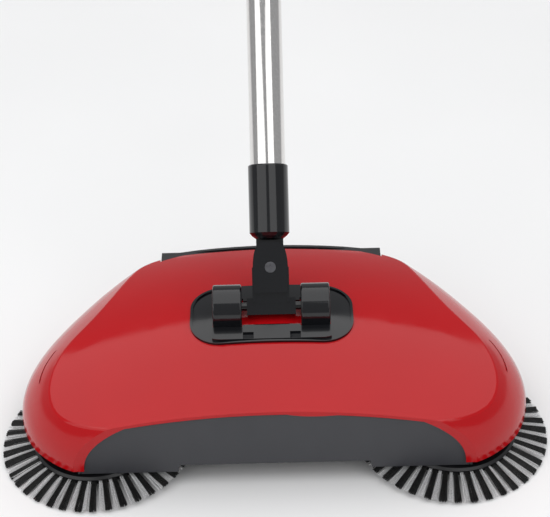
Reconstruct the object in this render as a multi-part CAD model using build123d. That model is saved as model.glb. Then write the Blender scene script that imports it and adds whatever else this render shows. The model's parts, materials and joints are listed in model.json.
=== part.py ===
"""Manual carpet sweeper with two side brushes, built as separate pieces.

Frame: millimetres, +Z up, X to the right, the front of the sweeper faces -Y.
Origin: on the floor, straight below the axis of the handle's pitch hinge.
"""
import os
from math import acos, atan2, cos, degrees, hypot, pi, radians, sin, sqrt, tan

from build123d import *

# ---------------------------------------------------------------- dimensions
WALL = 2.5                 # moulded wall of the cover
COVER_Z = 18.0             # lower edge of the cover
DECK_TOP = 86.0            # highest point of the deck
DECK_Y = 10.0              # where the deck is highest
CROWN_X = 0.00092          # crown of the deck across (1/mm)
CROWN_Y = 0.0019          # crown of the deck along (1/mm)
FRONT_Y = -86.0            # front edge of the cover
PANEL_Y = -84.0            # outer face of the front panel
PANEL_T = 3.0
PANEL_Z0 = 14.0            # lower edge of the panel's outer parts
PANEL_MID = 20.0           # lower edge of the panel over the mouth
REAR_Y = 97.0              # back of the frame
BOX_HALF = 48.6            # dust box, half width between the side walls
TAIL_HALF = 84.0           # dust box tail, half width
PITCH_Z = 92.3             # height of the pitch hinge
LEAN = 38.0                # rest lean of the handle
ROLL_PIVOT = 27.4          # roll pivot above the pitch hinge, along the handle
SOCKET_Z0, SOCKET_Z1 = 46.8, 100.3
SOCKET_R = 14.2
POLE_R = 12.5
POLE_WALL = 0.45
POLE_Z0 = 63.0
SECTION = 285.0            # one pole section
GRIP_Z1 = 955.0            # end of the handle along its axis
DISC_X, DISC_Y, DISC_Z = 126.0, -40.0, 13.5
DISC_FWD, DISC_OUT = 3.0, 3.0
DISC_R, TIP_R, TIP_DROP = 47.0, 70.0, 8.0
MOD = 1.5                  # gear module
THIN = 0.42                # each tooth is thinner by this at the pitch circle
N_WHEEL, N_IDLER, N_ROLL, N_PIN, N_FACE = 30, 30, 14, 12, 34
GEAR_X0, GEAR_X1 = 55.5, 61.5
ROLL_Y, ROLL_Z, ROLL_R = -40.0, 27.0, 26.0
WHEEL_R, WHEEL_Z, IDLER_Z = 27.0, 27.0, 38.0
R_WHEEL, R_IDLER, R_ROLL = MOD * N_WHEEL / 2, MOD * N_IDLER / 2, MOD * N_ROLL / 2
IDLER_Y = ROLL_Y + sqrt((R_ROLL + R_IDLER) ** 2 - (IDLER_Z - ROLL_Z) ** 2)
WHEEL_Y = IDLER_Y + sqrt((R_IDLER + R_WHEEL) ** 2 - (IDLER_Z - WHEEL_Z) ** 2)
SHAFT_R, BORE_R = 3.0, 3.06
REAR_ROLLER_Y, REAR_ROLLER_R, REAR_ROLLER_X = 86.0, 8.0, 91.0

# Plan outline of the right half at the lower edge and at the deck crease,
# from the front centre round to the rear centre.
LOW = [(0, -98), (70, -97), (118, -92), (143, -84.5), (157, -75), (169, -62), (178.5, -42),
       (182, -20), (179, 3), (170, 27), (154, 54), (133, 80), (110, 96.3), (88.5, 102),
       (45, 103.6), (0, 104)]
HIGH = [(0, -91), (62, -90), (98, -87), (124, -78.5), (142, -66), (151, -48.5), (154, -29),
        (153, -11), (148.5, 6), (140, 27), (125, 56), (108, 81.5), (95.5, 93), (82.5, 99.4),
        (44, 101.6), (0, 102)]


# ------------------------------------------------------------------- helpers
def box(x0, x1, y0, y1, z0, z1):
    return Pos((x0 + x1) / 2, (y0 + y1) / 2, (z0 + z1) / 2) * Box(x1 - x0, y1 - y0, z1 - z0)


def xcyl(x0, x1, y, z, r):
    return Pos((x0 + x1) / 2, y, z) * Rot(0, 90, 0) * Cylinder(r, x1 - x0)


def zcyl(x, y, z0, z1, r):
    return Pos(x, y, (z0 + z1) / 2) * Cylinder(r, z1 - z0)


def ycyl(x, z, y0, y1, r):
    return Pos(x, (y0 + y1) / 2, z) * Rot(90, 0, 0) * Cylinder(r, y1 - y0)


def turned(points):
    """Solid of revolution about Z from (radius, height) points."""
    line = Polyline(*[(r, 0, z) for r, z in points], close=True)
    return revolve(make_face(line), Axis.Z)


def mirrored(shape):
    return mirror(shape, about=Plane.YZ)


def fuse(*shapes):
    out = shapes[0]
    for s in shapes[1:]:
        out = out + s
    return out


def rounded(shape, radius, pick):
    """Fillet the picked edges with the largest radius that works."""
    for r in (radius, radius * 0.7, radius * 0.45):
        try:
            return fillet(pick(shape), r)
        except Exception:
            continue
    return shape


def involute(a):
    return tan(a) - a


def gear(n, x0, x1, y, z, turn, bore=0.0):
    """Spur gear with its axis along X; one tooth points at angle turn in the YZ plane."""
    rp, rb = MOD * n / 2, MOD * n / 2 * cos(radians(20))
    ra, rf = rp + 0.88 * MOD, rp - 1.25 * MOD
    half = pi / (2 * n) - THIN / (2 * rp)
    flank = []
    start = max(rb, rf + 0.05)
    for i in range(5):
        r = start + (ra - start) * i / 4
        flank.append((r, half + involute(radians(20)) - involute(acos(min(1.0, rb / r)))))
    pts = []
    for k in range(n):
        c = radians(turn) + 2 * pi * k / n
        ring = [(rf, -flank[0][1])] + [(r, -a) for r, a in flank]
        ring += [(r, a) for r, a in reversed(flank)] + [(rf, flank[0][1])]
        pts += [(r * cos(c + a), r * sin(c + a)) for r, a in ring]
    prof = make_face(Polyline(*pts, close=True))
    body = extrude(Plane(origin=(x0, y, z), x_dir=(0, 1, 0), z_dir=(1, 0, 0)) * prof, x1 - x0)
    if bore:
        body = body - xcyl(x0 - 1, x1 + 1, y, z, bore)
    return body


def outline(t, inset):
    """Closed plan outline, t = 0 at the lower edge and 1 at the deck crease."""
    half = [(a[0] + (b[0] - a[0]) * t, a[1] + (b[1] - a[1]) * t) for a, b in zip(LOW, HIGH)]
    full = half + [(-x, y) for x, y in reversed(half[1:-1])]
    if inset:
        n, moved = len(full), []
        for i, (x, y) in enumerate(full):
            (xa, ya), (xb, yb) = full[i - 1], full[(i + 1) % n]
            d = hypot(xb - xa, yb - ya)
            moved.append((x - inset * (yb - ya) / d, y + inset * (xb - xa) / d))
        full = moved
    return full


def spacing():
    """One set of spline parameters for every height, so that the loft stays light."""
    ring = outline(0.5, 0)
    steps = [0.0]
    for a, b in zip(ring, ring[1:] + ring[:1]):
        steps.append(steps[-1] + hypot(b[0] - a[0], b[1] - a[1]))
    return [s / steps[-1] for s in steps]


def deck_height(x, y):
    return DECK_TOP - CROWN_X * x * x - CROWN_Y * (y - DECK_Y) ** 2


def below_deck(drop):
    grid = [[Vector(x, y, deck_height(x, y) - drop) for y in range(-130, 151, 70)]
            for x in range(-210, 211, 105)]
    return extrude(Face.make_surface_from_array_of_points(grid), amount=100, dir=(0, 0, -1))


def hull_body(inset, z0):
    """Solid body of the sweeper, moved inward by inset."""
    cuts = [z0] + [z for z in (COVER_Z + 0.01, 32, 45, 54, 62, 70, 92) if z > z0]
    faces = []
    for z in cuts:
        t = (max(0.0, min(z, 70.0) - COVER_Z) / 44.0) ** 2.2
        ring = Edge.make_spline([Vector(x, y, z) for x, y in outline(t, inset)], periodic=True,
                                parameters=spacing())
        faces.append(make_face(ring))
    return loft(faces) & below_deck(inset)


def tilt(side):
    """Placement of a side brush: the front and the outer edge hang lower."""
    return Pos(side * DISC_X, DISC_Y, DISC_Z) * Rot(DISC_FWD, side * DISC_OUT, 0)


def handle_place():
    return Pos(0, 0, PITCH_Z) * Rot(-LEAN, 0, 0)


# ------------------------------------------------------------ cover and frame
def make_cover():
    outer = hull_body(0, COVER_Z)

    def crease(s):
        top = s.faces().sort_by(Axis.Z)[-1]
        return top.edges()

    outer = rounded(outer, 3.5, crease)
    shell = outer - hull_body(WALL, COVER_Z - 4)
    shell = shell - box(-220, 220, -160, FRONT_Y, 0, 120)
    shell = shell - box(-TAIL_HALF - 0.8, TAIL_HALF + 0.8, 90, 140, 0, 66.5)
    under = hull_body(WALL / 2, COVER_Z - 4)
    for side in (-1, 1):
        for x, y, z in COVER_POSTS:
            post = zcyl(side * x, y, z, 90, 4.2) & under
            shell = shell + (post - zcyl(side * x, y, z - 1, z + 12, 1.45))
        slot = box(side * 160 - 12, side * 160 + 12, -30, -2, 40, 70)
        line = hull_body(0.9, COVER_Z)
        ring = (slot & zcyl(side * 120, -30, 30, 80, 46.2)) - zcyl(side * 120, -30, 30, 80, 45.0)
        shell = shell - (ring - line)
    return shell


COVER_POSTS = [(100.0, -58.0, 41.0), (104.0, 70.0, 15.0), (140.0, 14.0, 41.0)]


def make_frame():
    inner = hull_body(3.0, 6)
    wall = box(50, 53, -79, 64, 6, 66) - box(45, 58, -80, -57, 0, 22)
    mid = box(64, 66.5, -58, 3, 31, 66)
    outer_wall = box(80, 83, 11, 64, 19, 66)
    platform = box(64, 178, -79, 30, 38, 41)
    link = box(83, 178, 21, 27, 20, 41)
    hanger = box(87, 91, -47, -33, 21.5, 40)
    boss = tilt(1) * zcyl(0, 0, 12.0, 26, 8.5)
    floor_tail = box(50, 101, 60, 95, 12, 15) + box(100, 110, 60, 80, 12, 15)
    cheeks = fuse(box(82.5, 84.5, 78, 94, 4, 13), box(97.5, 99.5, 78, 94, 4, 13))
    both = fuse(wall, mid, outer_wall, platform, link, hanger, boss, floor_tail, cheeks)
    both = both - box(62, 79.4, 6.0, 66, 16, 57.4)
    both = both + box(64, 83, 11, 34, 57.5, 60) + box(83, 104, 60, 63, 12, 41)
    skirt = hull_body(3.0, 20) - hull_body(5.4, 18)
    skirt = skirt & box(66, 200, -79, 92, 20, 41)
    both = both + skirt
    frame = both + mirrored(both)
    frame = frame + box(-83, 83, -58, 64, 63.5, 66)
    frame = frame + box(-51, 51, -9, 95, 12, 15)
    frame = frame + box(-118, 118, -81, -78.5, 23, 57)
    frame = frame + box(-51, 51, -16, -9, 10.5, 12.5) + box(-51, 51, -11, -9, 11, 15)
    for side in (-1, 1):
        for x, y, z in COVER_POSTS:
            frame = frame - zcyl(side * x, y, 0, 60, 1.7)
            low = z - 3
            frame = frame - zcyl(side * x, y, 0, low + 1.0, 3.2) if z > 20 else frame
        frame = frame - xcyl(min(side * 40, side * 93), max(side * 40, side * 93),
                             ROLL_Y, ROLL_Z, 5.0)
        frame = frame - xcyl(min(side * 40, side * 86), max(side * 40, side * 86),
                             WHEEL_Y, WHEEL_Z, 5.0)
        frame = frame - xcyl(min(side * 49, side * 68), max(side * 49, side * 68),
                             IDLER_Y, IDLER_Z, 2.0)
        frame = frame - tilt(side) * zcyl(0, 0, 5, 30, 2.5)
        rx = side * REAR_ROLLER_X
        frame = frame - box(rx - 6.0, rx + 6.0, 76, 96, 3, 17)
        frame = frame - xcyl(rx - 10, rx + 10, REAR_ROLLER_Y, REAR_ROLLER_R, 1.5)
    for x in PANEL_SCREWS:
        frame = frame - ycyl(x, 50, -90, -70, 1.35)
    frame = frame - box(-47, 47, -30, 58, 63, 67)
    return frame & inner_or_below(inner)


def inner_or_below(inner):
    return inner + box(-105, 105, -8, 96, 2, 10)


def arch(inset, foot, n=28):
    """Section of the hull at the panel's plane, above the height foot, as (x, z) points."""
    hull, centre, points = hull_body(inset, 8), Vector(0, PANEL_Y, foot), []
    for i in range(n + 1):
        a = pi * i / n
        ray = Edge.make_line(centre, centre + Vector(300 * cos(a), 0, 120 * sin(a)))
        cut = hull & ray
        ends = [v for e in cut.edges() for v in (e @ 0, e @ 1)]
        far = max(ends, key=lambda v: (v - centre).length)
        points.append((far.X, far.Z))
    return points


def arch_face(shift):
    """Face under the arch, with its outline moved inward by shift."""
    points, moved = arch(WALL + 0.35, PANEL_Z0), []
    for i, (x, z) in enumerate(points):
        (xa, za), (xb, zb) = points[max(i - 1, 0)], points[min(i + 1, len(points) - 1)]
        d = hypot(xb - xa, zb - za)
        moved.append((x + shift * (za - zb) / d, z + shift * (xb - xa) / d))
    return make_face(Spline(*moved) + Line(moved[-1], moved[0]))


def make_panel():
    plane = Plane(origin=(0, PANEL_Y, 0), x_dir=(1, 0, 0), z_dir=(0, -1, 0))
    panel = extrude(plane * arch_face(0), -PANEL_T)
    mouth = Polyline((-69, 5), (69, 5), (66, PANEL_MID), (-66, PANEL_MID), close=True)
    panel = panel - extrude(plane * make_face(mouth), 10, both=True)
    band = arch_face(1.5) - arch_face(2.3)
    panel = panel - extrude(plane * band, -0.8)
    for x in PANEL_SCREWS:
        panel = panel - ycyl(x, 50, PANEL_Y + 1.2, PANEL_Y + 9, 1.2)
    return panel


PANEL_SCREWS = (-104, -36, 36, 104)


# ------------------------------------------------------------ hinge on the deck
def pad(length, width, corner, y=1.5):
    """Rounded plan shape of the hinge plate, as a tall prism."""
    return extrude(Pos(0, y, 60) * RectangleRounded(length, width, corner), 60)


def make_hinge_plate():
    """Plate that follows the deck: a rim, sunk ends, and a raised block before the drums."""
    plate = pad(116, 62, 23) & below_deck(-1.7)
    plate = plate - ((pad(112.4, 58.4, 21.2) - box(-41.8, 41.8, -60, 60, 60, 120))
                     - below_deck(-0.5))
    block = make_face(Polyline((-29.6, 70), (-29.6, 84.0), (-28.4, 85.4), (-15, 87.6), (-15, 70),
                               close=True))
    block = extrude(Plane.YZ * block, 41.8, both=True) & pad(112.4, 58.4, 21.2)
    plate = plate + block
    plate = plate - box(-20.4, 20.4, -13.0, 13.0, 60, 120)
    for s in (-1, 1):
        plate = plate - box(min(s * 20.3, s * 41.8), max(s * 20.3, s * 41.8), -16.2, 16.2, 60, 120)
        plate = plate - (Pos(s * 16.5, -24.5, 87.0) * Box(7.5, 6.0, 3.4))
    return plate - hull_body(0, COVER_Z)


def make_drum(side):
    x0, x1 = 20.8, 41.3
    drum = xcyl(x0, x1, 0, PITCH_Z, 16)
    foot = box(x0, x1, -16, 16, 82.0, PITCH_Z)
    drum = rounded(drum + foot, 1.2, lambda s: s.edges().filter_by(GeomType.CIRCLE))
    drum = drum - hull_body(0, COVER_Z)
    drum = drum - xcyl(10, 37.5, 0, PITCH_Z, 3.0)
    drum = drum - xcyl(40.3, 45, 0, PITCH_Z, 6.0)
    return drum if side > 0 else mirrored(drum)


# -------------------------------------------------------------------- dust box
def make_dust_box():
    outer = fuse(box(-BOX_HALF, BOX_HALF, -8, 95, 15.4, 58),
                 box(-79, 79, 67, 95, 15.4, 58))
    cavity = fuse(box(-BOX_HALF + 2, BOX_HALF - 2, -5.5, 93, 17.4, 60),
                  box(-77, 77, 69, 93, 17.4, 60))
    tray = outer - cavity
    mouth = box(-BOX_HALF + 4, BOX_HALF - 4, -12, -4, 26, 60)
    tray = tray - mouth
    ribs = fuse(*[box(x - 0.9, x + 0.9, 40, 93, 17, 23) for x in (-24, 0, 24)])
    return tray + ribs


def make_dust_tail():
    """Back of the drawer: a plate with a finger recess and a rim that follows the deck."""
    n = 12
    top = [(TAIL_HALF - 2 * TAIL_HALF * i / n, 0) for i in range(n + 1)]
    top = [(x, deck_height(x, 103) - 0.9 - 1.5 * (abs(x) / TAIL_HALF) ** 8) for x, _ in top]
    rim = make_face(Polyline((-TAIL_HALF, 57), (TAIL_HALF, 57), *top, close=True))
    rim = extrude(Plane(origin=(0, 105.0, 0), x_dir=(1, 0, 0), z_dir=(0, -1, 0)) * rim, -3.0)
    rim = rounded(rim, 0.9, lambda s: s.faces().sort_by(Axis.Y)[-1].edges())
    plate = box(-TAIL_HALF, TAIL_HALF, 95, 98.0, 12.5, 65.4)
    plate = plate + box(-TAIL_HALF, TAIL_HALF, 97.9, 105.1, 52, 65.4)
    plate = plate + box(-TAIL_HALF + 2, TAIL_HALF - 2, 98, 101.0, 16, 20)
    skirt = box(-TAIL_HALF, TAIL_HALF, 97.9, 105.1, 12.5, 16)
    plate = plate + skirt
    for s in (-1, 1):
        plate = plate + box(min(s * 81, s * 84), max(s * 81, s * 84), 97.9, 105.1, 14, 54)
    return plate + rim


def make_lip():
    base = box(-BOX_HALF + 2, BOX_HALF - 2, -9.6, -8, 17, 26)
    return base + box(-BOX_HALF + 2, BOX_HALF - 2, -11.0, -9.6, 17, 24)


# ----------------------------------------------------------------- drive train
def mesh_turns():
    """Rest angle of the roll gear, idler and wheel gear so that the teeth interlock."""
    to_idler = degrees(atan2(IDLER_Z - ROLL_Z, IDLER_Y - ROLL_Y))
    roll = to_idler
    idler = to_idler + 180 + 180 / N_IDLER
    to_wheel = degrees(atan2(WHEEL_Z - IDLER_Z, WHEEL_Y - IDLER_Y))
    pitch = 360 / N_IDLER
    off = (idler - to_wheel) % pitch
    shift = radians(off) * R_IDLER
    wheel = to_wheel + 180 - degrees(shift / R_WHEEL) + 180 / N_WHEEL
    return roll, idler, wheel


def make_wheel():
    turn = mesh_turns()[2]
    g = gear(N_WHEEL, GEAR_X0, GEAR_X1, WHEEL_Y, WHEEL_Z, turn)
    hub = xcyl(GEAR_X1, 64.5, WHEEL_Y, WHEEL_Z, 12)
    disc = xcyl(64.5, 75.5, WHEEL_Y, WHEEL_Z, 24)
    dish = xcyl(71.5, 80, WHEEL_Y, WHEEL_Z, 21) - xcyl(71, 81, WHEEL_Y, WHEEL_Z, 7.5)
    hub = fuse(g, hub, disc) - dish
    for k in range(6):
        a = radians(60 * k)
        hub = hub - xcyl(60, 80, WHEEL_Y + 14 * cos(a), WHEEL_Z + 14 * sin(a), 4.0)
    hub = hub - xcyl(50, 90, WHEEL_Y, WHEEL_Z, SHAFT_R)
    tyre = xcyl(64.5, 75.5, WHEEL_Y, WHEEL_Z, WHEEL_R) - xcyl(60, 80, WHEEL_Y, WHEEL_Z, 24)
    tyre = rounded(tyre, 1.5, lambda s: [e for e in s.edges().filter_by(GeomType.CIRCLE)
                                         if e.radius > 26])
    axle = xcyl(50.2, 82.8, WHEEL_Y, WHEEL_Z, SHAFT_R)
    return hub, tyre, axle


def bush(x0, x1, y, z, flange_at):
    """Plastic bush: sleeve pressed in the frame wall, flange on one face."""
    b = xcyl(x0, x1, y, z, 5.0) + xcyl(flange_at, flange_at + 1.0, y, z, 6.5)
    return b - xcyl(x0 - 3, x1 + 3, y, z, BORE_R)


def make_bushes():
    right = [bush(50, 53, ROLL_Y, ROLL_Z, 53), bush(87, 91, ROLL_Y, ROLL_Z, 91),
             bush(50, 53, WHEEL_Y, WHEEL_Z, 53), bush(80, 83, WHEEL_Y, WHEEL_Z, 83)]
    return Compound(children=right + [mirrored(b) for b in right])


def make_idler():
    turn = mesh_turns()[1]
    g = gear(N_IDLER, GEAR_X0, GEAR_X1, IDLER_Y, IDLER_Z, turn)
    g = g - (xcyl(GEAR_X0 - 1, GEAR_X0 + 1.6, IDLER_Y, IDLER_Z, 18)
             - xcyl(GEAR_X0 - 2, GEAR_X1, IDLER_Y, IDLER_Z, 6))
    for k in range(5):
        a = radians(72 * k + 10)
        g = g - xcyl(50, 66, IDLER_Y + 12 * cos(a), IDLER_Z + 12 * sin(a), 3.6)
    return g - xcyl(50, 66, IDLER_Y, IDLER_Z, 2.06)


def make_roll():
    turn = mesh_turns()[0]
    shaft = xcyl(-105, 105, ROLL_Y, ROLL_Z, SHAFT_R)
    core = xcyl(-47, 47, ROLL_Y, ROLL_Z, 10) - xcyl(-50, 50, ROLL_Y, ROLL_Z, SHAFT_R)
    core = core + xcyl(-48.6, -47, ROLL_Y, ROLL_Z, 6) + xcyl(47, 48.6, ROLL_Y, ROLL_Z, 6)
    core = core - xcyl(-50, 50, ROLL_Y, ROLL_Z, SHAFT_R)
    rows = []
    pitch = 700.0
    for k in range(6):
        prof = Pos(0, 0, 0) * Polyline((9.3, -1.8), (ROLL_R, -2.6), (ROLL_R, 2.6), (9.3, 1.8),
                                       close=True)
        steps = []
        for i in range(5):
            x = -46 + 92 * i / 4
            ang = 60 * k + 360 * x / pitch
            pl = Plane(origin=(x, ROLL_Y, ROLL_Z), x_dir=(0, cos(radians(ang)), sin(radians(ang))),
                       z_dir=(1, 0, 0))
            steps.append(pl * make_face(prof))
        rows.append(loft(steps))
    grooves = fuse(*rows)
    bristles = grooves - xcyl(-60, 60, ROLL_Y, ROLL_Z, 8.0)
    core = core - bristles
    g = gear(N_ROLL, GEAR_X0, GEAR_X1, ROLL_Y, ROLL_Z, turn, SHAFT_R)
    p = gear(N_PIN, 98, 103, ROLL_Y, ROLL_Z, -90, SHAFT_R)
    gears = Compound(children=[g, mirrored(g)])
    pins = Compound(children=[p, mirrored(p)])
    return shaft, core, bristles, gears, pins


# ---------------------------------------------------------------- side brushes
def make_disc(side):
    prof = [(3.06, -2.0), (12, -2.0), (12, -1.2), (39, -1.2), (42.0, -5.2), (45.6, -5.2),
            (47, -4.2), (47, -0.6), (45.4, 1.0), (42.6, 1.0), (41, 1.2), (9, 1.2), (9, 9.0),
            (3.06, 9.0)]
    plate = turned(prof)
    r = MOD * N_FACE / 2
    w0 = (pi * MOD / 2 - 1.7 * THIN) / 2
    h0, h1, hp = 1.0, 4.3, 3.15
    slope = tan(radians(20))
    bar = make_face(Polyline((-(w0 + (hp - h0) * slope), h0), (w0 + (hp - h0) * slope, h0),
                             (w0 - (h1 - hp) * slope, h1), (-(w0 - (h1 - hp) * slope), h1),
                             close=True))
    tooth = extrude(Plane(origin=(r - 3.0, 0, 0), x_dir=(0, 1, 0), z_dir=(1, 0, 0)) * bar, 6.5)
    aim = 180 if side > 0 else 0
    teeth = [Rot(0, 0, aim + 360 / N_FACE * (k + 0.5)) * tooth for k in range(N_FACE)]
    plate = plate + teeth
    for k in range(6):
        plate = plate - Rot(0, 0, 60 * k + 15) * zcyl(35, 0, -4, 4, 3.2)
    ring = turned([(45.4, -3.6), (45.4, -1.2), (50, -1.4), (TIP_R, -TIP_DROP + 2.2),
                   (TIP_R, -TIP_DROP), (50, -4.0)])
    plate = plate - ring
    screw = turned([(0, -3.6), (7.0, -3.6), (7.8, -3.0), (7.8, -2.05), (0, -2.05)])
    place = tilt(side)
    pin = turned([(0, -2.05), (3.0, -2.05), (3.0, 9.3), (5.5, 9.3), (5.5, 11.9), (2.5, 11.9),
                  (2.5, 26), (0, 26)])
    return place * plate, place * ring, place * screw, place * pin


# ----------------------------------------------------------------------- handle
def link_outline(grow, z0):
    """Front view of the swivel link: straight below the pivot, shoulders above it."""
    side = [(12.0, ROLL_PIVOT), (11.8, 31.5), (11.2, 36), (10.2, 40), (8.4, 43.2)]
    right = [(12.0 + grow, z0)] + [(x + grow, z) for x, z in side]
    left = [(-x, z) for x, z in reversed(right)]
    face = make_face(Polyline(*right, (5.0, 45.4 + grow), (-5.0, 45.4 + grow), *left, close=True))
    return Plane(origin=(0, 0, 0), x_dir=(1, 0, 0), z_dir=(0, -1, 0)) * face


def link_outline(grow, z0):
    """Front view of the swivel link: straight below the pivot, shoulders above it."""
    side = [(12.0, ROLL_PIVOT), (11.8, 31.5), (11.2, 36), (10.2, 40), (8.4, 43.2)]
    right = [(12.0 + grow, z0)] + [(x + grow, z) for x, z in side]
    left = [(-x, z) for x, z in reversed(right)]
    face = make_face(Polyline(*right, (5.0, 45.4 + grow), (-5.0, 45.4 + grow), *left, close=True))
    return Plane(origin=(0, 0, 0), x_dir=(1, 0, 0), z_dir=(0, -1, 0)) * face


def link_slab(grow, z0, y0, y1):
    return extrude(Pos(0, y1, 0) * link_outline(grow, z0), y1 - y0)


def make_link():
    link = link_slab(0.45, 2, -6.4, 9.0) + link_slab(-0.35, 9.5, -9.4, -6.2)
    for x in (-12, 12):
        link = link + box(x - 1, x + 1, -7.6, 8, 3, ROLL_PIVOT)
    back = Polyline((5.9, -1), (6.0, 0), (9.0, 6.5), (12, 6.5), (12, -1), close=True)
    link = link - extrude(Plane.YZ * make_face(back), 20, both=True)
    link = link + box(-17.2, 17.2, -5.9, 0, -5.9, 5.9) + box(-17.2, 17.2, -5.9, 5.9, 0, 5.9)
    link = link + xcyl(-17.2, 17.2, 0, 0, 5.9)
    clip = ycyl(0, ROLL_PIVOT, -12, 12, 18.4) + box(-20, 20, -12, 12, -20, ROLL_PIVOT - 1)
    link = link & clip
    link = link - box(-20, 20, -3.2, 3.2, 14.6, 60) - xcyl(-20, 20, 0, 0, 3.0)
    link = link - ycyl(0, ROLL_PIVOT, -12, -7.0, 4.3) - ycyl(0, ROLL_PIVOT, -12, 12, 2.0)
    return link - ycyl(0, ROLL_PIVOT, 6.2, 12, 4.2)


def make_socket():
    """Sleeve for the pole with a domed lower end and a flat tongue for the pivot."""
    z, r = SOCKET_Z0, SOCKET_R
    body = turned([(0, z), (6.0, z), (9.8, z + 1.0), (12.4, z + 3.0), (r, z + 5.2),
                   (r, SOCKET_Z1 - 0.8), (r - 0.8, SOCKET_Z1), (0, SOCKET_Z1)])
    tongue = box(-9.6, 9.6, -3.0, 3.0, ROLL_PIVOT, 56) + ycyl(0, ROLL_PIVOT, -3.0, 3.0, 9.6)
    body = body + tongue
    body = body - zcyl(0, 0, POLE_Z0, 200, POLE_R)
    return body - ycyl(0, ROLL_PIVOT, -5, 5, 2.06)


def tube(z0, z1):
    return zcyl(0, 0, z0, z1, POLE_R) - zcyl(0, 0, z0 - 1, z1 + 1, POLE_R - POLE_WALL)


def make_coupler(z):
    """Screw joint between two pole sections: two plugs and a thin collar."""
    ri = POLE_R - POLE_WALL
    plug = turned([(0, z - 26), (ri - 1.0, z - 26), (ri, z - 25), (ri, z), (POLE_R + 0.7, z),
                   (POLE_R + 1.0, z + 0.5), (POLE_R + 1.0, z + 3.5), (POLE_R + 0.7, z + 4),
                   (ri, z + 4), (ri, z + 29), (ri - 1.0, z + 30), (0, z + 30)])
    return plug - zcyl(0, 0, z - 30, z + 40, 7.5)


def make_grip(z0):
    pts = [(POLE_R, z0), (14.2, z0), (15.4, z0 + 3)]
    n = 9
    for k in range(n):
        z = z0 + 8 + k * 10.5
        pts += [(15.4, z), (14.7, z + 1.2), (14.7, z + 2.6), (15.4, z + 3.8)]
    pts += [(15.4, z0 + 110), (14.6, z0 + 112), (POLE_R, z0 + 112)]
    return turned(pts)


def make_cap(z0):
    cap = turned([(0, z0), (14.6, z0), (15.0, z0 + 1.0), (15.0, z0 + 8), (13.4, z0 + 16),
                  (0, z0 + 16)])
    loop = box(-11, 11, -4.5, 4.5, z0 + 8, z0 + 24) + ycyl(0, z0 + 24, -4.5, 4.5, 11)
    cap = cap + (loop & zcyl(0, 0, z0, z0 + 60, 15))
    plug = zcyl(0, 0, z0 - 22, z0, POLE_R - POLE_WALL) - zcyl(0, 0, z0 - 30, z0 - 2, 9)
    return cap + plug - ycyl(0, z0 + 24, -10, 10, 4.5)


# ------------------------------------------------------------------------ build
def save(name, shape):
    export_step(shape, os.path.join("parts", name + ".step"))
    print(name, round(shape.volume / 1000, 2), "cm3", len(shape.solids()))


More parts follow.
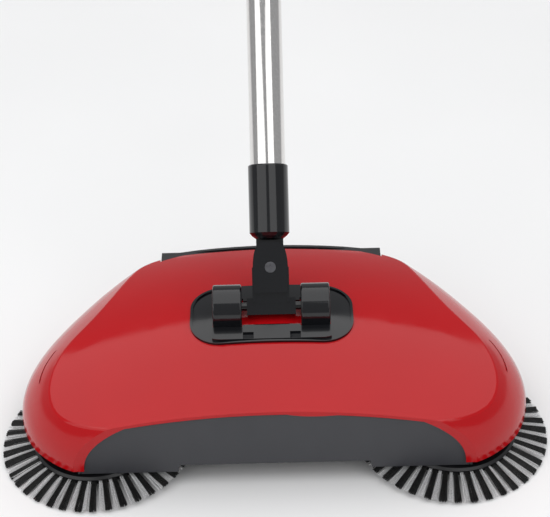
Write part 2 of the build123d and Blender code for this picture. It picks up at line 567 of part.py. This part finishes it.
def main():
    os.makedirs("parts", exist_ok=True)
    save("top_cover", make_cover())
    save("chassis_frame", make_frame())
    save("front_panel", make_panel())
    save("hinge_plate", make_hinge_plate())
    for side, name in ((-1, "left"), (1, "right")):
        save("hinge_drum_" + name, make_drum(side))
    save("pitch_pin", xcyl(-37.4, 37.4, 0, PITCH_Z, 2.95))
    screws = []
    for side in (-1, 1):
        for x, y, z in COVER_POSTS:
            head = z - 3 + (1.0 if z > 20 else 0.0)
            s = zcyl(side * x, y, head - 2.0, head, 3.0) + zcyl(side * x, y, head, z + 10, 1.45)
            screws.append(s)
    save("cover_screws", Compound(children=screws))
    save("panel_screws", Compound(children=[
        ycyl(x, 50, -78.5, -76.5, 3.0) + ycyl(x, 50, PANEL_Y + 1.3, -78.5, 1.2)
        for x in PANEL_SCREWS]))
    save("shaft_bushes", make_bushes())
    save("idler_pins", Compound(children=[xcyl(50.2, 66.4, IDLER_Y, IDLER_Z, 2.0),
                                          xcyl(-66.4, -50.2, IDLER_Y, IDLER_Z, 2.0)]))
    save("dust_box", make_dust_box())
    save("dust_box_tail", make_dust_tail())
    save("intake_lip", make_lip())
    hub, tyre, axle = make_wheel()
    idler = make_idler()
    for side, name in ((-1, "left"), (1, "right")):
        put = (lambda s: s) if side > 0 else mirrored
        save("wheel_hub_" + name, put(hub))
        save("wheel_tyre_" + name, put(tyre))
        save("wheel_axle_" + name, put(axle))
        save("idler_gear_" + name, put(idler))
        plate, ring, screw, pin = make_disc(side)
        save("side_brush_plate_" + name, plate)
        save("side_brush_bristles_" + name, ring)
        save("side_brush_cap_" + name, screw)
        save("side_brush_spindle_" + name, pin)
        rx = side * REAR_ROLLER_X
        roller = xcyl(rx - 5.2, rx + 5.2, REAR_ROLLER_Y, REAR_ROLLER_R, REAR_ROLLER_R)
        roller = rounded(roller, 1.2, lambda s: s.edges().filter_by(GeomType.CIRCLE))
        save("rear_roller_" + name, roller - xcyl(rx - 8, rx + 8, REAR_ROLLER_Y,
                                                  REAR_ROLLER_R, 1.56))
    save("rear_roller_pins", Compound(children=[
        xcyl(s * REAR_ROLLER_X - 8.4, s * REAR_ROLLER_X + 8.4, REAR_ROLLER_Y, REAR_ROLLER_R, 1.5)
        for s in (-1, 1)]))
    shaft, core, bristles, gears, pins = make_roll()
    save("roller_shaft", shaft)
    save("roller_core", core)
    save("roller_bristles", bristles)
    save("roller_gears", gears)
    save("roller_pinions", pins)
    h = handle_place()
    save("pivot_link", h * make_link())
    save("pivot_bolt", h * (ycyl(0, ROLL_PIVOT, -8.7, -7.0, 3.9)
                            + ycyl(0, ROLL_PIVOT, -7.0, 9.0, 2.0)
                            - (Pos(0, -8.9, ROLL_PIVOT) * Box(5.6, 1.2, 1.0))
                            - (Pos(0, -8.9, ROLL_PIVOT) * Box(1.0, 1.2, 5.6))))
    save("pivot_nut", h * (ycyl(0, ROLL_PIVOT, 6.2, 8.6, 3.8) - ycyl(0, ROLL_PIVOT, 6, 9, 2.0)))
    save("handle_socket", h * make_socket())
    z = POLE_Z0
    save("pole_lower", h * tube(z, z + SECTION))
    z1 = z + SECTION
    save("pole_coupler_lower", h * make_coupler(z1))
    save("pole_middle", h * tube(z1 + 4, z1 + 4 + SECTION))
    z2 = z1 + 4 + SECTION
    save("pole_coupler_upper", h * make_coupler(z2))
    z3 = GRIP_Z1 - 35
    save("pole_upper", h * tube(z2 + 4, z3))
    save("grip", h * make_grip(z3 - 112))
    save("end_cap", h * make_cap(z3))



main()
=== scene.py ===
"""Looks of a manual carpet sweeper with two tilted side brushes.

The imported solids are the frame. This script gives them their finishes, stands real tufts in
for the brushes' plain rings and blades, and sets the floor, the lights and the camera.
All lengths are metres in the part's own frame: +Z up, the front faces -Y.
"""
import json
import math
import random

import bpy
from mathutils import Matrix, Vector


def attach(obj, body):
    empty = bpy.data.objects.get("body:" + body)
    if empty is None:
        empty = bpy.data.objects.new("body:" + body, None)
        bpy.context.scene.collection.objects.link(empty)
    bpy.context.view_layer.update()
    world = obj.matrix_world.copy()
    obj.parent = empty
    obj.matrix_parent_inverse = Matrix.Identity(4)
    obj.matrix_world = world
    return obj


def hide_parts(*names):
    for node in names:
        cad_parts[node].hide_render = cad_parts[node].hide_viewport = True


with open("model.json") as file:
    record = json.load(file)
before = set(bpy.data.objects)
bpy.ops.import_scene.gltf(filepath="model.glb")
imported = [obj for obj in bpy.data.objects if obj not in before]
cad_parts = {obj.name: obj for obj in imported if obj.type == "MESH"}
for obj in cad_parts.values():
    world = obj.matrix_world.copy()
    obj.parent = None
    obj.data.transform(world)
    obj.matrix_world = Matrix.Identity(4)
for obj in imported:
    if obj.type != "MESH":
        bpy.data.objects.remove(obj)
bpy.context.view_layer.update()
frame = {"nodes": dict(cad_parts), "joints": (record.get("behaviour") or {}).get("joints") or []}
NODES = frame["nodes"]
JOINTS = {j["name"]: j for j in frame["joints"]}
MM = 0.001
random.seed(7)


# ------------------------------------------------------------------ materials
def node_tree(name):
    mat = bpy.data.materials.new(name)
    mat.use_nodes = True
    tree = mat.node_tree
    return mat, tree, tree.nodes["Principled BSDF"]


def noise(tree, scale, detail=3.0, stretch=(1, 1, 1)):
    """Noise over the object's own coordinates; scale is features per metre."""
    coord = tree.nodes.new("ShaderNodeTexCoord")
    mapping = tree.nodes.new("ShaderNodeMapping")
    mapping.inputs["Scale"].default_value = stretch
    tex = tree.nodes.new("ShaderNodeTexNoise")
    tex.inputs["Scale"].default_value = scale
    tex.inputs["Detail"].default_value = detail
    tree.links.new(coord.outputs["Object"], mapping.inputs["Vector"])
    tree.links.new(mapping.outputs["Vector"], tex.inputs["Vector"])
    return tex.outputs["Fac"]


def ramp(tree, fac, low, high, start=0.3, stop=0.7):
    """Colour ramp between two colours or two grey levels."""
    node = tree.nodes.new("ShaderNodeValToRGB")
    ends = [c if isinstance(c, tuple) else (c, c, c) for c in (low, high)]
    for element, at, colour in zip(node.color_ramp.elements, (start, stop), ends):
        element.position = at
        element.color = (*colour, 1.0)
    tree.links.new(fac, node.inputs["Fac"])
    return node.outputs["Color"]


def bump(tree, shader, height, distance, strength=1.0):
    node = tree.nodes.new("ShaderNodeBump")
    node.inputs["Strength"].default_value = strength
    node.inputs["Distance"].default_value = distance
    tree.links.new(height, node.inputs["Height"])
    tree.links.new(node.outputs["Normal"], shader.inputs["Normal"])


def shade(colour, factor):
    return tuple(min(1.0, c * factor) for c in colour)


def plastic(name, colour, rough, spread=0.06, grain=1800.0, depth=0.00002, coat=0.0, drift=0.05,
            gloss=0.5):
    """Moulded plastic: slow colour drift, fine grain, and roughness that varies a little."""
    mat, tree, shader = node_tree(name)
    slow = noise(tree, 14.0, 2.0)
    tree.links.new(ramp(tree, slow, shade(colour, 1 - drift), shade(colour, 1 + drift)),
                   shader.inputs["Base Color"])
    smear = noise(tree, 60.0, 6.0, (1, 1, 0.4))
    tree.links.new(ramp(tree, smear, max(0.0, rough - spread), rough + spread),
                   shader.inputs["Roughness"])
    bump(tree, shader, noise(tree, grain, 2.0), depth)
    shader.inputs["IOR"].default_value = 1.5
    shader.inputs["Specular IOR Level"].default_value = gloss
    if coat:
        shader.inputs["Coat Weight"].default_value = coat
        shader.inputs["Coat Roughness"].default_value = 0.03
    return mat


def steel(name, colour, rough, stretch, scale, spread=0.05, depth=0.000004):
    """Drawn or polished steel: fine lines along the stretch direction."""
    mat, tree, shader = node_tree(name)
    shader.inputs["Metallic"].default_value = 1.0
    lines = noise(tree, scale, 4.0, stretch)
    tree.links.new(ramp(tree, lines, shade(colour, 0.94), shade(colour, 1.04)),
                   shader.inputs["Base Color"])
    tree.links.new(ramp(tree, lines, max(0.02, rough - spread), rough + spread),
                   shader.inputs["Roughness"])
    bump(tree, shader, lines, depth)
    return mat


def rubber(name, colour, rough=0.75):
    mat = plastic(name, colour, rough, spread=0.08, grain=900.0, depth=0.00006, drift=0.15)
    shader = mat.node_tree.nodes["Principled BSDF"]
    shader.inputs["Specular IOR Level"].default_value = 0.35
    return mat


def filament(name, low, high, rough, clear=0.0):
    """Nylon filament: colour differs from strand to strand."""
    mat, tree, shader = node_tree(name)
    tree.links.new(ramp(tree, noise(tree, 900.0, 2.0), low, high, 0.35, 0.65),
                   shader.inputs["Base Color"])
    tree.links.new(ramp(tree, noise(tree, 2500.0, 1.0), rough - 0.08, rough + 0.08),
                   shader.inputs["Roughness"])
    shader.inputs["Transmission Weight"].default_value = clear
    return mat


def finishes():
    """Every finish by its name."""
    return {
        "cover": plastic("red_gloss_abs", (0.45, 0.004, 0.007), 0.10, spread=0.03, grain=500.0,
                         depth=0.000004, coat=0.0, drift=0.03, gloss=0.33),
        "panel": plastic("dark_grey_satin", (0.034, 0.035, 0.041), 0.42, grain=2600.0,
                         depth=0.000025, drift=0.04),
        "frame": plastic("black_frame", (0.014, 0.014, 0.015), 0.45),
        "hinge": plastic("black_gloss", (0.005, 0.0055, 0.007), 0.10, spread=0.03, grain=900.0,
                         depth=0.000006, coat=0.1, drift=0.12),
        "tail": plastic("black_tail", (0.02, 0.02, 0.022), 0.38),
        "box": plastic("smoke_grey_box", (0.06, 0.06, 0.065), 0.35),
        "wheel": plastic("wheel_black", (0.02, 0.02, 0.021), 0.4),
        "gear": plastic("gear_ivory", (0.72, 0.70, 0.64), 0.38, drift=0.03),
        "disc": plastic("brush_plate_black", (0.006, 0.006, 0.007), 0.36),
        "core": plastic("roller_core_black", (0.02, 0.02, 0.022), 0.45),
        "tyre": rubber("tyre_rubber", (0.022, 0.022, 0.022)),
        "grip": rubber("grip_rubber", (0.017, 0.017, 0.018), 0.62),
        "lip": rubber("lip_rubber", (0.02, 0.02, 0.02), 0.7),
        "pole": steel("polished_steel", (0.80, 0.785, 0.77), 0.10, (1, 1, 0.05), 900.0, 0.04),
        "steel": steel("turned_steel", (0.42, 0.42, 0.43), 0.3, (0.2, 1, 1), 400.0),
        "bolt": steel("blackened_steel", (0.13, 0.13, 0.14), 0.3, (0.2, 1, 1), 400.0),
        "black_filament": filament("black_filament", (0.004, 0.004, 0.004), (0.03, 0.03, 0.03),
                                   0.42),
        "clear_filament": filament("clear_filament", (0.86, 0.86, 0.87), (0.98, 0.98, 0.98), 0.3,
                                   0.35),
    }


# Which CAD nodes take which finish; a name ending in _ covers every node that starts with it.
DRESS = {
    "cover": ["top_cover"], "panel": ["front_panel"], "frame": ["chassis_frame"],
    "hinge": ["pitch_pin", "hinge_plate", "hinge_drum_", "pivot_link", "handle_socket", "end_cap"],
    "tail": ["dust_box_tail", "pole_coupler_"], "box": ["dust_box"],
    "wheel": ["wheel_hub_", "rear_roller_left", "rear_roller_right"],
    "gear": ["idler_gear_", "roller_gears", "roller_pinions", "shaft_bushes"],
    "disc": ["side_brush_plate_", "side_brush_cap_", "side_brush_bristles_"],
    "core": ["roller_core", "roller_bristles"], "tyre": ["wheel_tyre_"], "grip": ["grip"],
    "lip": ["intake_lip"], "pole": ["pole_lower", "pole_middle", "pole_upper"],
    "steel": ["cover_screws", "panel_screws", "idler_pins", "wheel_axle_",
              "side_brush_spindle_", "rear_roller_pins", "roller_shaft"],
    "bolt": ["pivot_bolt", "pivot_nut"],
}


def dress(looks):
    for finish, names in DRESS.items():
        for node, obj in NODES.items():
            if any(node == n or (n.endswith("_") and node.startswith(n)) for n in names):
                obj.data.materials.clear()
                obj.data.materials.append(looks[finish])


# --------------------------------------------------------------------- bristles
class Strands:
    """Collects filaments, each a thin three-sided tapered rod, into one mesh."""

    def __init__(self):
        self.verts, self.faces = [], []

    def add(self, path, radius, side):
        """path: points from root to tip; side: a vector across the strand."""
        base = len(self.verts)
        for i, p in enumerate(path):
            ahead = path[min(i + 1, len(path) - 1)] - path[max(i - 1, 0)]
            u = (side - ahead * (side.dot(ahead) / ahead.length_squared)).normalized()
            v = ahead.cross(u).normalized()
            for k in range(3):
                a = 2 * math.pi * k / 3
                self.verts.append(p + (u * math.cos(a) + v * math.sin(a)) * radius)
        for i in range(len(path) - 1):
            for k in range(3):
                a, b = base + 3 * i + k, base + 3 * i + (k + 1) % 3
                self.faces.append((a, b, b + 3, a + 3))
        last = base + 3 * (len(path) - 1)
        self.faces += [(base + 2, base + 1, base), (last, last + 1, last + 2)]

    def piece(self, name, place, look, body, node, slot):
        mesh = bpy.data.meshes.new(name)
        mesh.from_pydata([place @ v for v in self.verts], [], self.faces)
        mesh.update()
        mesh.materials.append(look)
        obj = bpy.data.objects.new(name, mesh)
        bpy.context.scene.collection.objects.link(obj)
        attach(obj, body)
        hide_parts(node)
        return obj


TUFTS = 40                       # tufts of each colour on one side brush
ROOT_R, TIP_R = 45.0 * MM, 69.8 * MM
ROOT_Z, TIP_Z = -2.5 * MM, -6.9 * MM


def side_tuft(strands, centre, count, width, thick, ragged, radius):
    """One tuft round the disc at angle centre: narrow at the ring, wider at the blunt tip."""
    for _ in range(count):
        across, up = random.uniform(-1, 1), random.uniform(-1, 1)
        bend = random.gauss(0, 0.10)
        tip = TIP_R + random.uniform(-1, 0.35) * ragged
        path = []
        for t in (0.0, 0.35, 0.7, 1.0):
            r = ROOT_R + (tip - ROOT_R) * t
            spread = width[0] + (width[1] - width[0]) * t
            angle = centre + (across * spread / 2 + bend * t * t * width[1] / 2) / r
            sag = ROOT_Z + (TIP_Z - ROOT_Z) * (0.75 * t + 0.25 * t * t)
            z = sag + up * (thick[0] + (thick[1] - thick[0]) * t) / 2
            path.append(Vector((r * math.cos(angle), r * math.sin(angle), z)))
        strands.add(path, radius, Vector((0, 0, 1)))


def joint_place(name):
    """Frame of a joint: origin on its axis, Z along the axis."""
    joint = JOINTS[name]
    turn = Vector((0, 0, 1)).rotation_difference(Vector(joint["axis"])).to_matrix().to_4x4()
    return Matrix.Translation(joint["pos_m"]) @ turn


def side_brush(side, looks):
    place = joint_place("brush_spin_" + side)
    body, node = "brush_" + side, "side_brush_bristles_" + side
    black, clear = Strands(), Strands()
    step = 2 * math.pi / TUFTS
    for i in range(TUFTS):
        lean = random.gauss(0, 0.006)
        side_tuft(black, i * step + lean, 72, (2.8 * MM, 4.9 * MM), (2.2 * MM, 2.4 * MM),
                  0.5 * MM, 0.20 * MM)
        side_tuft(clear, (i + 0.5) * step - lean, 22, (2.2 * MM, 4.4 * MM),
                  (0.8 * MM, 1.4 * MM), 2.2 * MM, 0.14 * MM)
    black.piece("tufts_black_" + side, place, looks["black_filament"], body, node,
                "brush_bristle")
    clear.piece("tufts_clear_" + side, place, looks["clear_filament"], body, node,
                "brush_bristle")


ROWS, TWIST = 6, 2 * math.pi / 0.7       # helical rows and their twist per metre
ROLLER_HALF, CORE_R, BRUSH_R = 45.0 * MM, 9.0 * MM, 25.8 * MM


def roller_brush(looks):
    joint = JOINTS["roller_spin"]
    place = Matrix.Translation(joint["pos_m"])
    strands = Strands()
    count = 24
    for row in range(ROWS):
        for i in range(count):
            x0 = ROLLER_HALF * (2 * i / (count - 1) - 1)
            turn = 2 * math.pi * row / ROWS + TWIST * x0
            for _ in range(26):
                da, dx = random.uniform(-1, 1), random.uniform(-1, 1)
                tip = BRUSH_R + random.uniform(-0.8, 0.2) * MM
                path = []
                for t in (0.0, 0.5, 1.0):
                    r = CORE_R + (tip - CORE_R) * t
                    a = turn + da * (0.8 + 1.1 * t) * MM / r
                    path.append(Vector((x0 + dx * (0.9 + 0.9 * t) * MM, r * math.cos(a),
                                        r * math.sin(a))))
                strands.add(path, 0.16 * MM, Vector((1, 0, 0)))
    strands.piece("roller_tufts", place, looks["black_filament"], "roller", "roller_bristles",
                  "roller_bristle")


# ------------------------------------------------------------ stage and lights
def stage():
    mat, tree, shader = node_tree("pale_floor")
    tree.links.new(ramp(tree, noise(tree, 3.0, 2.0), (0.87, 0.87, 0.87), (0.9, 0.9, 0.9)),
                   shader.inputs["Base Color"])
    shader.inputs["Roughness"].default_value = 0.9
    # A wide flat floor, as a grid.
    half, n = 9.0, 12
    line = [half * (2 * i / n - 1) for i in range(n + 1)]
    verts = [(x, y, 0.0) for y in line for x in line]
    faces = [(r * (n + 1) + c, r * (n + 1) + c + 1, (r + 1) * (n + 1) + c + 1,
              (r + 1) * (n + 1) + c) for r in range(n) for c in range(n)]
    mesh = bpy.data.meshes.new("floor")
    mesh.from_pydata(verts, [], faces)
    mesh.materials.append(mat)
    floor = bpy.data.objects.new("floor", mesh)
    bpy.context.scene.collection.objects.link(floor)


def area_light(name, place, aim, size, power):
    data = bpy.data.lights.new(name, "AREA")
    data.shape = "RECTANGLE"
    data.size, data.size_y = size
    data.energy = power
    obj = bpy.data.objects.new(name, data)
    bpy.context.scene.collection.objects.link(obj)
    obj.location = place
    obj.rotation_euler = (Vector(aim) - Vector(place)).to_track_quat("-Z", "Y").to_euler()


def lights():
    world = bpy.data.worlds.new("studio")
    world.use_nodes = True
    background = world.node_tree.nodes["Background"]
    background.inputs["Color"].default_value = (0.95, 0.96, 0.98, 1)
    background.inputs["Strength"].default_value = 0.38
    bpy.context.scene.world = world
    area_light("overhead", (0, 0.5, 2.4), (0, 0.5, 0), (4.5, 4.0), 66)
    # Two tall softboxes in front draw the bright bands on the steel tube.
    spot, reach = Vector((0, 0.12, 0.25)), 1.6
    for name, turn, width, power in (("box_left", -40, 1.5, 5.0), ("box_right", 25, 1.1, 3.8)):
        a = math.radians(turn)
        place = spot + Vector((math.sin(a), -0.81 * math.cos(a), 0.59 * math.cos(a))) * reach
        area_light(name, place, spot, (width, 1.0), power)


def camera():
    """Looks down at the front of the sweeper from a little above the deck's centre line."""
    pitch, yaw, roll = 0.6283, -0.0051, -0.0283
    distance, aim = 1.2, Vector((0.0, 0.05, 0.06))
    slide_right, slide_up = 0.00244, 0.0305
    ahead = Vector((math.sin(yaw) * math.cos(pitch), math.cos(yaw) * math.cos(pitch),
                    -math.sin(pitch)))
    level = Vector((math.cos(yaw), -math.sin(yaw), 0))
    upright = level.cross(ahead)
    right = level * math.cos(roll) + upright * math.sin(roll)
    up = upright * math.cos(roll) - level * math.sin(roll)
    data = bpy.data.cameras.new("camera")
    data.sensor_width, data.lens = 36.0, 105.38
    data.clip_end = 50
    obj = bpy.data.objects.new("camera", data)
    bpy.context.scene.collection.objects.link(obj)
    spot = aim - ahead * distance + right * slide_right + up * slide_up
    turn = Matrix((right, up, -ahead)).transposed().to_4x4()
    obj.matrix_world = Matrix.Translation(spot) @ turn
    bpy.context.scene.camera = obj


def main():
    looks = finishes()
    dress(looks)
    for side in ("left", "right"):
        side_brush(side, looks)
    roller_brush(looks)
    stage()
    lights()
    camera()
    bpy.context.scene.view_settings.view_transform = "Standard"


main()
